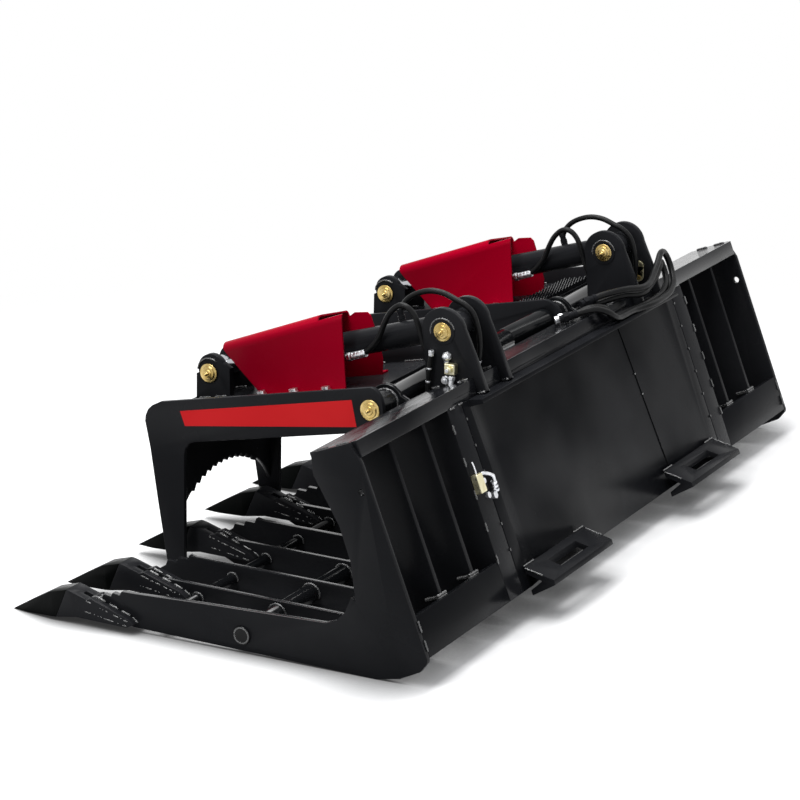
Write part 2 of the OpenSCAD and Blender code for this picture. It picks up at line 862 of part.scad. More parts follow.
module piston_rod(side) {
    piston_z = rod_stroke + knuckle_r + wall_t + piston_gap;
    color("#9a9da2")
    on_cylinder(side)
    difference() {
        union() {
            translate([0, 0, piston_z])
            cylinder(h = cyl_len - piston_z, r = piston_rod_r);
            translate([0, 0, piston_z])
            cylinder(h = piston_h, r = barrel_r - wall_t - piston_run);
            translate([-rod_ear_gap / 2 + knuckle_gap, 0, cyl_len])
            rotate([0, 90, 0])
            cylinder(h = rod_ear_gap - 2 * knuckle_gap, r = rod_eye_r);
        }
        translate([-rod_ear_gap, 0, cyl_len])
        rotate([0, 90, 0])
        cylinder(h = 2 * rod_ear_gap, r = cyl_pin_r + seat_gap);
    }
}

base_head_r = 21;
rod_head_r = 22.5;
rod_pin_room = 1;

module through_pin(gap, at, head_r) {
    reach = gap + 2 * ear_t;
    translate([-reach / 2, at[0], at[1]])
    headed_pin(reach, cyl_pin_r, head_r);
    translate([reach / 2, at[0], at[1]])
    rotate([0, 0, 180])
    headed_pin(head_t, cyl_pin_r, head_r);
}

module base_pin_part(side) {
    color("#b79a4a")
    parked()
    mirrored(side)
    translate([-cyl_x, 0, 0])
    through_pin(ear_gap, base_pin, base_head_r);
}

module rod_pin_part(side) {
    color("#b79a4a")
    parked()
    mirrored(side)
    translate([-cyl_x, 0, 0])
    through_pin(rod_ear_gap + rod_pin_room, rod_pin, rod_head_r);
}

// Hoses: each is swept along a smooth line through hand-chosen points
hose_sides = 8;
hose_rings = 2;
lead_r = 8;

// The cylinder hoses, by distance from the cylinder's middle, forward place and height
rod_side_route = [[-38, 526, 494], [-38, 505, 495], [-38, 475, 500], [-38, 442, 518],
    [-38, 416, 549], [-38, 401, 584], [-38, 387, 610], [-38, 366, 629], [-38, 344, 629],
    [-38, 325, 611], [-38, 312, 579], [-38, 300, 544], [-37, 283, 509], [-36, 269, 483],
    [-36, 265, 471]];
base_side_route = [[12, 383.5, 584.8], [12, 388, 599.6], [13, 381, 619], [14, 365, 637],
    [15, 341, 650], [16, 313, 657], [17, 283, 655], [17, 255, 645], [18, 231, 635],
    [18, 211, 618], [18, 200, 590], [18, 194, 555], [18, 196, 520], [18, 204, 493]];

// The two hoses to the loader, by their places from the middle
lead_route = [[100, 230, 489], [118, 207, 496], [145, 182, 509], [172, 158, 506], [190, 151, 489],
    [215, 148, 477], [270, 148, 476.5], [300, 143, 477], [330, 130, 481], [356, 124, 484],
    [395, 122, 486], [430, 122, 490], [466, 128, 503], [488, 140, 522], [494, 150, 540],
    [486, 152, 551], [468, 147, 545], [440, 143, 528], [405, 140, 515], [375, 137, 508],
    [356, 136, 505], [325, 142, 506], [295, 158, 510], [262, 178, 507], [232, 197, 500],
    [205, 217, 492]];
outer_lead_route = [[84, 210, 499], [104, 186, 508], [130, 160, 513], [154, 140, 503],
    [176, 132, 489], [205, 131, 480], [270, 131, 479.5], [300, 125, 480], [330, 112, 483],
    [356, 106, 485], [395, 104, 487], [440, 106, 492], [482, 116, 505], [508, 132, 526],
    [516, 146, 552], [502, 152, 572], [478, 150, 574], [450, 144, 560], [415, 138, 542],
    [380, 131, 530], [350, 128, 525], [318, 134, 525], [285, 150, 528], [252, 172, 525],
    [222, 192, 520], [192, 210, 511]];

function unit(v) = v / norm(v);
function between(a, b, c, d, t) = (2 * b + (c - a) * t + (2 * a - 5 * b + 4 * c - d) * t * t
    + (3 * b - a - 3 * c + d) * t * t * t) / 2;
function smooth(p) = let (last = len(p) - 1) [
    for (k = [0:last - 1], j = [0:hose_rings - 1])
        between(p[max(k - 1, 0)], p[k], p[k + 1], p[min(k + 2, last)], j / hose_rings),
    p[last]];
function heading(c, i) = unit(c[min(i + 1, len(c) - 1)] - c[max(i - 1, 0)]);
function sideways(c) = [
    for (i = 0, s = unit(cross(heading(c, 0), [1, 0, 0])); i < len(c);
        i = i + 1, s = i < len(c) ? unit(s - (s * heading(c, i)) * heading(c, i)) : s)
        s];

module hose(route, r) {
    line = smooth(route);
    sides = sideways(line);
    n = hose_sides;
    last = len(line) - 1;
    points = [for (i = [0:last], k = [0:n - 1]) let (a = k * 360 / n)
        line[i] + r * (cos(a) * sides[i] + sin(a) * cross(heading(line, i), sides[i]))];
    walls = [for (i = [0:last - 1], k = [0:n - 1]) let (a = i * n + k, b = i * n + (k + 1) % n) each [
        [a, a + n, b + n], [a, b + n, b]]];
    polyhedron(points, concat([[for (k = [0:n - 1]) k]], walls, [[for (k = [n - 1:-1:0]) last * n + k]]));
}

module hoses(side) {
    color("#111111")
    parked()
    translate([side * cyl_x, 0, 0]) {
        hose(rod_side_route, hose_r);
        hose(base_side_route, hose_r);
    }
}

module lead_hoses() {
    color("#111111")
    parked() {
        hose(lead_route, lead_r);
        hose(outer_lead_route, lead_r);
    }
}

end_plate(-1);  // end_plate_left
end_plate(1);  // end_plate_right
for (i = [1:tine_count - 2])
    tine(i);
tooth_adaptors();
teeth();
cross_tube();
front_rod();
lower_plates();
top_beam();
loader_plate();
side_strip(-1);  // side_strip_left
side_strip(1);  // side_strip_right
slot_bracket(-1);  // slot_bracket_left
slot_bracket(1);  // slot_bracket_right
base_ears(-1);  // base_ears_left
base_ears(1);  // base_ears_right
pivot_tube(-1);  // pivot_tube_left
pivot_tube(1);  // pivot_tube_right
arm_outer(-1);  // arm_outer_left
arm_inner(-1);  // arm_inner_left
arm_deck(-1);  // arm_deck_left
arm_jaw(-1);  // arm_jaw_left
rod_ears(-1);  // rod_ears_left
rod_guard(-1);  // rod_guard_left
guard_bolts(-1);  // guard_bolts_left
pivot_pins(-1);  // pivot_pins_left
arm_outer(1);  // arm_outer_right
arm_inner(1);  // arm_inner_right
arm_deck(1);  // arm_deck_right
arm_jaw(1);  // arm_jaw_right
rod_ears(1);  // rod_ears_right
rod_guard(1);  // rod_guard_right
guard_bolts(1);  // guard_bolts_right
pivot_pins(1);  // pivot_pins_right
grip_strips();
barrel(-1);  // barrel_left
gland(-1);  // gland_left
piston_rod(-1);  // piston_rod_left
base_pin_part(-1);  // base_pin_left
rod_pin_part(-1);  // rod_pin_left
barrel(1);  // barrel_right
gland(1);  // gland_right
piston_rod(1);  // piston_rod_right
base_pin_part(1);  // base_pin_right
rod_pin_part(1);  // rod_pin_right
hoses(-1);  // hoses_left
hoses(1);  // hoses_right
lead_hoses();
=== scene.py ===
import json
import math
import random

import bmesh
import bpy
from mathutils import Matrix, Vector
from mathutils.bvhtree import BVHTree


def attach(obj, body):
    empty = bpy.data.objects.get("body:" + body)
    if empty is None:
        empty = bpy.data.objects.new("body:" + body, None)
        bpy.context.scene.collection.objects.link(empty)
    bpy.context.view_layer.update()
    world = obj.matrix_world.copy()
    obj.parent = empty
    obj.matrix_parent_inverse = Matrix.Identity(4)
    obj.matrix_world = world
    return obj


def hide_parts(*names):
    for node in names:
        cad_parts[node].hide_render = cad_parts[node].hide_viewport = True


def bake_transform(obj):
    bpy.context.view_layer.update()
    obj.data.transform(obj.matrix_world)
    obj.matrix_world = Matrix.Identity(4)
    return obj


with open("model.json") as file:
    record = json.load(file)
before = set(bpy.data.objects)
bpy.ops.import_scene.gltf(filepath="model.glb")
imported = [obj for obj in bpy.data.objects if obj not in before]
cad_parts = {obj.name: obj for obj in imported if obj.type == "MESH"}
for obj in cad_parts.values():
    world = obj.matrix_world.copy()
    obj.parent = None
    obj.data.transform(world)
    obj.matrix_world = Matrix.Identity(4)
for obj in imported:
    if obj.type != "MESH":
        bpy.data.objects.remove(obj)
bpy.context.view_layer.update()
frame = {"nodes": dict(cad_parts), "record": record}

mm = 0.001
nodes = frame["nodes"]
bodies = frame["record"]["behaviour"]["bodies"]
bodyOf = {node: body for body, group in bodies.items() for node in group}
print("frame loaded:", len(nodes), "nodes")

# The grapple was measured standing level; it rests tipped up a little on its end teeth
parking = {"tilt": 1.01653, "heelY": 118.0, "middleY": 487.289, "rake": 21.15, "heelZ": 63.5}


def parkMatrix():
    toHeel = Matrix.Translation((0, -parking["heelY"] * mm, 0))
    turn = Matrix.Rotation(math.radians(parking["tilt"]), 4, "X")
    home = Matrix.Translation((0, (parking["heelY"] - parking["middleY"]) * mm, 0))
    return home @ turn @ toHeel


parked = parkMatrix()


def spot(x, y, z):
    return parked @ Vector((x * mm, y * mm, z * mm))


def backPoint(x, forward, along):  # a place on the leaning back, in the level frame
    lean = math.radians(parking["rake"])
    y = along * math.sin(lean) + forward * math.cos(lean)
    z = parking["heelZ"] + along * math.cos(lean) - forward * math.sin(lean)
    return (x, y, z)


def aimed(at, axis):  # a matrix whose own Z runs along the axis, at a place in the level frame
    turn = Vector(axis).to_track_quat("Z", "Y").to_matrix().to_4x4()
    return parked @ Matrix.Translation(Vector(at) * mm) @ turn


# Camera at the photograph's viewing angle
cameraSet = {"place": (-5402.07, -2377.82, 2124.44), "yaw": 61.049, "pitch": 16.804,
             "lens": 120.92, "sensor": 36, "clipEnd": 60}


def addCamera():
    data = bpy.data.cameras.new("photoCamera")
    data.lens = cameraSet["lens"]
    data.sensor_width = cameraSet["sensor"]
    data.clip_end = cameraSet["clipEnd"]
    camera = bpy.data.objects.new("photoCamera", data)
    bpy.context.scene.collection.objects.link(camera)
    aim = Matrix.Rotation(math.radians(-cameraSet["yaw"]), 4, "Z") @ Matrix.Rotation(
        math.radians(90 - cameraSet["pitch"]), 4, "X")
    place = Matrix.Translation(Vector(cameraSet["place"]) * mm)
    camera.matrix_world = parked @ place @ aim
    bpy.context.scene.camera = camera


addCamera()
print("camera placed")


# Materials
def newMaterial(name, color, roughness, metallic=0.0):
    material = bpy.data.materials.new(name)
    material.use_nodes = True
    shader = material.node_tree.nodes["Principled BSDF"]
    shader.inputs["Base Color"].default_value = (*color, 1)
    shader.inputs["Roughness"].default_value = roughness
    shader.inputs["Metallic"].default_value = metallic
    return material, material.node_tree, shader


def noise(tree, scale, detail=3.0, roughness=0.55):
    where = tree.nodes.new("ShaderNodeTexCoord")
    field = tree.nodes.new("ShaderNodeTexNoise")
    field.inputs["Scale"].default_value = scale
    field.inputs["Detail"].default_value = detail
    field.inputs["Roughness"].default_value = roughness
    tree.links.new(where.outputs["Object"], field.inputs["Vector"])
    return field.outputs["Fac"]


def ramp(tree, source, low, high, start=0.3, end=0.7):
    band = tree.nodes.new("ShaderNodeValToRGB")
    band.color_ramp.elements[0].position = start
    band.color_ramp.elements[1].position = end
    band.color_ramp.elements[0].color = (*low, 1)
    band.color_ramp.elements[1].color = (*high, 1)
    tree.links.new(source, band.inputs["Fac"])
    return band.outputs["Color"]


def grey(value):
    return (value, value, value)


def addBump(tree, shader, height, strength, distance=mm):
    bump = tree.nodes.new("ShaderNodeBump")
    bump.inputs["Strength"].default_value = strength
    bump.inputs["Distance"].default_value = distance
    tree.links.new(height, bump.inputs["Height"])
    tree.links.new(bump.outputs["Normal"], shader.inputs["Normal"])


def stretched(tree, scale, detail, squash, turn=(0, 0, 0)):  # noise drawn out along one way
    where = tree.nodes.new("ShaderNodeTexCoord")
    mapping = tree.nodes.new("ShaderNodeMapping")
    mapping.inputs["Scale"].default_value = squash
    mapping.inputs["Rotation"].default_value = turn
    tree.links.new(where.outputs["Object"], mapping.inputs["Vector"])
    field = tree.nodes.new("ShaderNodeTexNoise")
    field.inputs["Scale"].default_value = scale
    field.inputs["Detail"].default_value = detail
    tree.links.new(mapping.outputs["Vector"], field.inputs["Vector"])
    return field.outputs["Fac"]


# Powder coat: an even colour with a breath of dust, orange peel and a soft, patchy gloss
coatSet = {"dust": 3.2, "smears": 7.5, "peel": 420.0, "patches": 2.6,
           "squash": (1.0, 0.35, 1.3), "turn": (0.5, 0.35, 0.6)}


def paint(name, color, dusty, rough, gloss, peel=0.08, topGloss=None):
    s = coatSet
    material, tree, shader = newMaterial(name, color, rough[0])
    dust = ramp(tree, noise(tree, s["dust"], 6.0), color, dusty, 0.4, 0.8)
    tree.links.new(dust, shader.inputs["Base Color"])
    smears = ramp(tree, noise(tree, s["smears"], 4.0), grey(rough[0]), grey(rough[1]), 0.35, 0.75)
    tree.links.new(smears, shader.inputs["Roughness"])
    addBump(tree, shader, noise(tree, s["peel"], 1.0), peel)
    patches = stretched(tree, s["patches"], 2.0, s["squash"], s["turn"])
    sheen = ramp(tree, patches, grey(gloss * 0.4), grey(gloss * 1.7), 0.4, 0.62)
    if topGloss:
        # Cut edges that face up are polished by the load
        facing = tree.nodes.new("ShaderNodeTexCoord")
        split = tree.nodes.new("ShaderNodeSeparateXYZ")
        tree.links.new(facing.outputs["Normal"], split.inputs[0])
        polish = ramp(tree, split.outputs["Z"], grey(0), grey(topGloss), 0.8, 0.97)
        add = tree.nodes.new("ShaderNodeMath")
        tree.links.new(sheen, add.inputs[0])
        tree.links.new(polish, add.inputs[1])
        sheen = add.outputs[0]
    tree.links.new(sheen, shader.inputs["Specular IOR Level"])
    return material


def zinc(name, color, tint, roughness):
    material, tree, shader = newMaterial(name, color, roughness, 1.0)
    sheen = ramp(tree, noise(tree, 60.0, 3.0), color, tint, 0.3, 0.75)
    tree.links.new(sheen, shader.inputs["Base Color"])
    marks = ramp(tree, noise(tree, 240.0, 3.0), grey(roughness * 0.75), grey(roughness * 1.5))
    tree.links.new(marks, shader.inputs["Roughness"])
    addBump(tree, shader, noise(tree, 500.0, 2.0), 0.08)
    return material


def ground(name, color, roughness):
    # Hard chrome on a ground rod, with fine rings round it
    material, tree, shader = newMaterial(name, color, roughness, 1.0)
    rings = ramp(tree, noise(tree, 900.0, 1.0), grey(roughness * 0.7), grey(roughness * 1.8))
    tree.links.new(rings, shader.inputs["Roughness"])
    addBump(tree, shader, noise(tree, 1200.0, 1.0), 0.03)
    return material


def hoseCover(name, color, worn, roughness):
    material, tree, shader = newMaterial(name, color, roughness)
    rub = ramp(tree, noise(tree, 26.0, 4.0), color, worn, 0.45, 0.8)
    tree.links.new(rub, shader.inputs["Base Color"])
    sheen = ramp(tree, noise(tree, 90.0, 2.0), grey(roughness * 0.8), grey(roughness * 1.3))
    tree.links.new(sheen, shader.inputs["Roughness"])
    addBump(tree, shader, noise(tree, 800.0, 2.0), 0.25)
    shader.inputs["Specular IOR Level"].default_value = 0.14
    return material


def beadMetal(name, color):
    # Painted weld: the coat runs glossy over the ripples
    material, tree, shader = newMaterial(name, color, 0.1)
    pools = ramp(tree, noise(tree, 150.0, 3.0), color, tuple(c * 2.2 for c in color), 0.45, 0.8)
    tree.links.new(pools, shader.inputs["Base Color"])
    addBump(tree, shader, noise(tree, 260.0, 3.0), 0.8, 0.003)
    shader.inputs["Specular IOR Level"].default_value = 1.0
    shader.inputs["Coat Weight"].default_value = 0.6
    shader.inputs["Coat Roughness"].default_value = 0.06
    return material


materials = {
    "black_paint": paint("blackCoat", (0.0145, 0.015, 0.0168), (0.0215, 0.022, 0.024),
                         (0.2, 0.34), 0.03),
    "tooth_paint": paint("toothCoat", (0.0018, 0.0024, 0.0022), (0.0048, 0.0052, 0.0052),
                         (0.22, 0.4), 0.024),
    "red_paint": paint("redCoat", (0.31, 0.0, 0.0122), (0.335, 0.0004, 0.0165),
                       (0.24, 0.34), 0.03, 0.05),
    "bright_zinc": zinc("brightZinc", (0.6, 0.62, 0.65), (0.88, 0.88, 0.9), 0.3),
    "yellow_zinc": zinc("yellowZinc", (0.4, 0.27, 0.075), (0.66, 0.52, 0.24), 0.24),
    "hard_chrome": ground("hardChrome", (0.5, 0.51, 0.53), 0.1),
    "black_rubber": hoseCover("hoseCover", (0.005, 0.0052, 0.0056), (0.011, 0.011, 0.011), 0.34),
}
rodCoat = paint("rodCoat", (0.0055, 0.006, 0.0068), (0.011, 0.0115, 0.013),
                (0.07, 0.16), 0.2, 0.1)
plateCoat = paint("plateCoat", (0.0078, 0.0083, 0.0096), (0.0175, 0.018, 0.0205),
                  (0.14, 0.28), 0.016)
tineCoat = paint("tineCoat", (0.0125, 0.013, 0.0146), (0.02, 0.0205, 0.0225),
                 (0.2, 0.32), 0.03, 0.08, 1.6)


def streakedCoat():
    # The beam's top is rubbed in streaks along its length
    material = paint("streakedCoat", (0.009, 0.0095, 0.011), (0.02, 0.0205, 0.024),
                     (0.08, 0.22), 0.1, 0.08, 0.95)
    tree = material.node_tree
    streaks = stretched(tree, 1.6, 4.0, (3.0, 70.0, 70.0))
    addBump(tree, tree.nodes["Principled BSDF"], streaks, 0.35, 0.004)
    return material


beamCoat = streakedCoat()
paleZinc = zinc("paleZinc", (0.66, 0.6, 0.36), (0.88, 0.84, 0.62), 0.34)
weldMaterial = beadMetal("weldBead", (0.009, 0.0095, 0.011))
tubes = ("cross_tube", "front_rod", "pivot_tube_left", "pivot_tube_right")
coatOf = {"top_beam": beamCoat, "loader_plate": plateCoat, "lower_plates": plateCoat,
          "grip_strips": tineCoat, "end_plate_left": tineCoat, "end_plate_right": tineCoat,
          **{f"tine_{i}": tineCoat for i in range(1, 14)}, **dict.fromkeys(tubes, rodCoat)}
slotOf = {entry["node"]: entry["material_slot"] for entry in frame["record"]["subparts"]}
print("materials made")


# Every rigid CAD piece gets the small rounded edge that powder coat leaves on cut plate;
# merge and flat clean its mesh first, in mm and degrees
edgeSet = {"radius": 1.3, "fine": 0.5, "segments": 2, "angle": 25.0, "merge": 0.02, "flat": 0.6}
fineEdges = {"grip_strips", "guard_bolts_left", "guard_bolts_right"}
hoseNodes = {"hoses_left", "hoses_right", "lead_hoses"}


def roundEdges(piece, width):
    rounding = piece.modifiers.new("roundedEdge", "BEVEL")
    rounding.width = width * mm
    rounding.segments = edgeSet["segments"]
    rounding.limit_method = "ANGLE"
    rounding.angle_limit = math.radians(edgeSet["angle"])
    rounding.harden_normals = True
    rounding.miter_outer = "MITER_ARC"


# The guards' upper left bend is rolled wide: the source's tight bend is opened out to this radius.
# It takes hold within its reach of the nose; level, skin and past are small allowances in mm
guardWalls = {"rod_guard_left": -480.53, "rod_guard_right": 343.53}
bendSet = {"nose": (805.0, 481.0), "dip": 20.88, "tight": 10.0, "wide": 24.0, "sheet": 4.0,
           "fall": 7.0, "cuts": 5, "reach": 27.0, "level": 0.01, "skin": 0.5, "past": 1.5}


def rollBend(bm, wallX):
    s = bendSet
    dip, fall = math.radians(s["dip"]), math.radians(s["fall"])
    drop = s["wide"] - s["tight"]
    back = parked.inverted()
    up = Vector((0, math.sin(dip), math.cos(dip)))
    nose = Vector((wallX, *s["nose"]))
    for k in range(s["cuts"]):
        at = parked @ ((nose - up * drop * (k + 1) / s["cuts"]) * mm)
        bmesh.ops.bisect_plane(bm, geom=bm.verts[:] + bm.edges[:] + bm.faces[:], plane_co=at,
                               plane_no=(parked.to_3x3() @ up), dist=s["level"] * mm)
    centre = Vector((s["wide"], -drop))
    core = s["tight"] - s["sheet"] + s["skin"]
    for vert in bm.verts:
        place = (back @ vert.co) / mm - nose
        across, height = place.x, place.dot(up)
        if height < -drop - s["level"] or across > s["reach"] or height < across - s["reach"]:
            continue
        fromBend = math.hypot(across - s["tight"], max(height, 0))
        inner = across > s["skin"] and fromBend < core
        radius = s["wide"] - (s["sheet"] if inner else 0)
        if height <= s["level"] and across < s["sheet"] + s["skin"]:
            turned = (centre.x - math.sqrt(radius ** 2 - (height + drop) ** 2), height)
        elif height > s["level"] and across < s["tight"] + s["past"]:
            start = math.pi - math.asin(drop / radius)
            end = math.pi / 2 - fall
            angle = math.atan2(height, across - s["tight"])
            share = (math.pi - angle) / (math.pi - end)
            turn = start + (end - start) * share
            turned = (centre.x + radius * math.cos(turn), centre.y + radius * math.sin(turn))
        else:
            continue
        moved = place + Vector((turned[0] - across, 0, 0)) + up * (turned[1] - height)
        vert.co = parked @ ((moved + nose) * mm)


def softEdged(node):
    mesh = nodes[node].data.copy()
    piece = bpy.data.objects.new("coated_" + node, mesh)
    bpy.context.scene.collection.objects.link(piece)
    bm = bmesh.new()
    bm.from_mesh(mesh)
    bmesh.ops.remove_doubles(bm, verts=bm.verts, dist=edgeSet["merge"] * mm)
    flat = math.radians(edgeSet["flat"])
    bmesh.ops.dissolve_limit(bm, angle_limit=flat, verts=bm.verts, edges=bm.edges)
    if node in guardWalls:
        rollBend(bm, guardWalls[node])
    bm.to_mesh(mesh)
    bm.free()
    for face in mesh.polygons:
        face.use_smooth = True
    roundEdges(piece, edgeSet["fine"] if node in fineEdges else edgeSet["radius"])
    mesh.materials.clear()
    mesh.materials.append(coatOf.get(node, materials[slotOf[node]]))
    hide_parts(node)
    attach(piece, bodyOf[node])


for node in sorted(set(nodes) - hoseNodes):
    softEdged(node)
print("edges rounded on", len(nodes) - len(hoseNodes), "pieces")


def dress(piece, material, body):
    piece.data.materials.append(material)
    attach(piece, body)


def finishPiece(bm, name, material, body, smooth=True, edge=0.0):
    bmesh.ops.recalc_face_normals(bm, faces=bm.faces)
    mesh = bpy.data.meshes.new(name)
    bm.to_mesh(mesh)
    bm.free()
    piece = bpy.data.objects.new(name, mesh)
    bpy.context.scene.collection.objects.link(piece)
    for face in mesh.polygons:
        face.use_smooth = smooth
    if edge:
        roundEdges(piece, edge)
    dress(piece, material, body)


def addDrum(bm, at, axis, radius, length, sides=32):
    where = aimed(at, axis) @ Matrix.Translation((0, 0, length / 2 * mm))
    bmesh.ops.create_cone(bm, cap_ends=True, segments=sides, radius1=radius * mm,
                          radius2=radius * mm, depth=length * mm, matrix=where)


def addBall(bm, at, radius):
    bmesh.ops.create_uvsphere(bm, u_segments=16, v_segments=10, radius=radius * mm,
                              matrix=aimed(at, (0, 0, 1)))


def addBlock(bm, at, axis, size):
    where = aimed(at, axis) @ Matrix.Diagonal((size[0] * mm, size[1] * mm, size[2] * mm, 1))
    bmesh.ops.create_cube(bm, size=1, matrix=where)


def addTurned(bm, rows, x=0.0):
    # One row for each turned shape: place, axis (None for a ball), radius, length, sides
    for (out, y, z), axis, *size in rows:
        if axis is None:
            addBall(bm, (x + out, y, z), *size)
        else:
            addDrum(bm, (x + out, y, z), axis, *size)


# The arms' plates: their top edge falls forwards from the hinge, and the deck lies below it
armSet = {"top": 495.0, "hinge": 333.0, "slope": 0.2044, "middle": 421.93, "deck": 34}
# Red stripe along each outer plate, with corners as (place along the arm, drop below the top)
stripeSet = {"x": 632.43, "film": 0.4,
             "corners": ((820.6, 24.5), (379.3, 24.5), (367.3, 86.0), (808.2, 60.0))}


def armTop(y):
    return armSet["top"] - (y - armSet["hinge"]) * armSet["slope"]


def decal(name):
    material, tree, shader = newMaterial(name, (0.76, 0.019, 0.023), 0.34)
    fade = ramp(tree, noise(tree, 5.0, 2.0), (0.72, 0.017, 0.021), (0.8, 0.024, 0.028), 0.3, 0.75)
    tree.links.new(fade, shader.inputs["Base Color"])
    addBump(tree, shader, noise(tree, 90.0, 1.0), 0.05, 0.0006)
    shader.inputs["Specular IOR Level"].default_value = 0.06
    return material


decalMaterial = decal("stripeFilm")


def addStripe(side, name, body):
    s = stripeSet
    bm = bmesh.new()
    verts = [bm.verts.new(spot(side * s["x"], y, armTop(y) - drop)) for y, drop in s["corners"]]
    face = bm.faces.new(verts)
    made = bmesh.ops.extrude_face_region(bm, geom=[face])
    moved = [v for v in made["geom"] if isinstance(v, bmesh.types.BMVert)]
    bmesh.ops.translate(bm, verts=moved, vec=(side * s["film"] * mm, 0, 0))
    finishPiece(bm, name, decalMaterial, body, False)


addStripe(-1, "arm_stripe_left", "arm_left")
addStripe(1, "arm_stripe_right", "arm_right")
print("stripes laid")

# Hoses follow the routes of the CAD's hoses
cylX = 412.03
hoseSet = {"radius": 6.5, "leadRadius": 8.0, "steps": 5, "sides": 3}
rodSideRoute = [(-38, 526, 494), (-38, 505, 495), (-38, 475, 500), (-38, 442, 518),
                (-38, 416, 549), (-38, 401, 584), (-38, 387, 610), (-38, 366, 629),
                (-38, 344, 629), (-38, 325, 611), (-38, 312, 579), (-38, 300, 544),
                (-37, 283, 509), (-36, 269, 483), (-36, 265, 471)]
baseSideRoute = [(12, 383.5, 584.8), (12, 388, 599.6), (13, 381, 619), (14, 365, 637),
                 (15, 341, 650), (16, 313, 657), (17, 283, 655), (17, 255, 645), (18, 231, 635),
                 (18, 211, 618), (18, 200, 590), (18, 194, 555), (18, 196, 520), (18, 204, 493)]
leadRoute = [(100, 230, 489), (118, 207, 496), (145, 182, 509), (172, 158, 506), (190, 151, 489),
             (215, 148, 477), (270, 148, 476.5), (300, 143, 477), (330, 130, 481), (356, 124, 484),
             (395, 122, 486), (430, 122, 490), (466, 128, 503), (488, 140, 522), (494, 150, 540),
             (486, 152, 551), (468, 147, 545), (440, 143, 528), (405, 140, 515), (375, 137, 508),
             (356, 136, 505), (325, 142, 506), (295, 158, 510), (262, 178, 507), (232, 197, 500),
             (205, 217, 492)]
outerLeadRoute = [(84, 210, 499), (104, 186, 508), (130, 160, 513), (154, 140, 503),
                  (176, 132, 489), (205, 131, 480), (270, 131, 479.5), (300, 125, 480),
                  (330, 112, 483), (356, 106, 485), (395, 104, 487), (440, 106, 492),
                  (482, 116, 505), (508, 132, 526), (516, 146, 552), (502, 152, 572),
                  (478, 150, 574), (450, 144, 560), (415, 138, 542), (380, 131, 530),
                  (350, 128, 525), (318, 134, 525), (285, 150, 528), (252, 172, 525),
                  (222, 192, 520), (192, 210, 511)]


def smoothLine(route):
    points = [Vector(p) for p in route]
    last = len(points) - 1
    line = []
    for k in range(last):
        a, b, c, d = points[max(k - 1, 0)], points[k], points[k + 1], points[min(k + 2, last)]
        for j in range(hoseSet["steps"]):
            t = j / hoseSet["steps"]
            line.append((2 * b + (c - a) * t + (2 * a - 5 * b + 4 * c - d) * t ** 2
                         + (3 * b - a - 3 * c + d) * t ** 3) / 2)
    return line + [points[last]]


def tubeAlong(name, lines, radius, sides, thickness=None):
    curve = bpy.data.curves.new(name + "_line", "CURVE")
    curve.dimensions = "3D"
    curve.bevel_depth = radius * mm
    curve.bevel_resolution = sides
    curve.use_fill_caps = True
    for i, line in enumerate(lines):
        spline = curve.splines.new("POLY")
        spline.points.add(len(line) - 1)
        for k, point in enumerate(line):
            spline.points[k].co = (*point, 1)
            if thickness:
                spline.points[k].radius = thickness[i][k]
    holder = bpy.data.objects.new(name + "_line", curve)
    bpy.context.scene.collection.objects.link(holder)
    bpy.context.view_layer.update()
    solid = holder.evaluated_get(bpy.context.evaluated_depsgraph_get())
    mesh = bpy.data.meshes.new_from_object(solid)
    bpy.data.objects.remove(holder)
    mesh.name = name
    piece = bpy.data.objects.new(name, mesh)
    bpy.context.scene.collection.objects.link(piece)
    for face in mesh.polygons:
        face.use_smooth = True
    return piece


def addHose(name, route, radius, shift=0.0):
    line = [spot(p.x + shift, p.y, p.z) for p in smoothLine(route)]
    piece = tubeAlong(name, [line], radius, hoseSet["sides"])
    piece.data.materials.append(materials["black_rubber"])
    return piece


# The long swaged end that shows behind the guard; start is from the cylinder's middle
swageSet = {"start": (-38, 494, 495), "axis": (0, -38, 13), "hex": 10.2, "hexLength": 9,
            "rings": 4, "ring": 8.9, "ringLength": 7, "pitch": 10, "sleeve": 8.1,
            "sleeveStart": 8, "sleeveLength": 42}


def addSwage(bm, shift):
    s = swageSet
    x, y, z = s["start"]
    start, axis = Vector((shift + x, y, z)), Vector(s["axis"]).normalized()
    addDrum(bm, start, axis, s["hex"], s["hexLength"], 6)
    for k in range(s["rings"]):
        addDrum(bm, start + axis * (s["pitch"] * (1 + k)), axis, s["ring"], s["ringLength"])
    addDrum(bm, start + axis * s["sleeveStart"], axis, s["sleeve"], s["sleeveLength"])


# Crimped collar over the hose's end, a swivel nut, and the stem that goes into the port. The
# rings are parts of the collar: start and length as shares of it, and how much they are drawn in
couplingSet = {"collar": 1.8, "collarLength": 24.0, "nut": 1.6, "nutLength": 12.0,
               "nutSeat": 2, "stem": 11.0, "stemWidth": 1.15, "stemSeat": 3,
               "rings": ((0, 0.36, 0), (0.36, 0.3, 1.2), (0.66, 0.34, 0))}


def addCoupling(bm, route, shift, radius, end, collarOnly=False):
    first, second = (route[0], route[1]) if end == 0 else (route[-1], route[-2])
    start = Vector(first) + Vector((shift, 0, 0))
    axis = (Vector(second) - Vector(first)).normalized()
    s = couplingSet
    collar, length = radius + s["collar"], s["collarLength"]
    for begin, share, waist in s["rings"]:
        addDrum(bm, start + axis * length * begin, axis, collar - waist, length * share)
    if collarOnly:
        return
    nut = s["nutLength"] - s["nutSeat"]
    addDrum(bm, start - axis * nut, axis, radius * s["nut"], nut, 6)
    stemStart = start - axis * (s["nutLength"] + s["stem"] - s["stemSeat"])
    addDrum(bm, stemStart, axis, radius * s["stemWidth"], s["stem"])


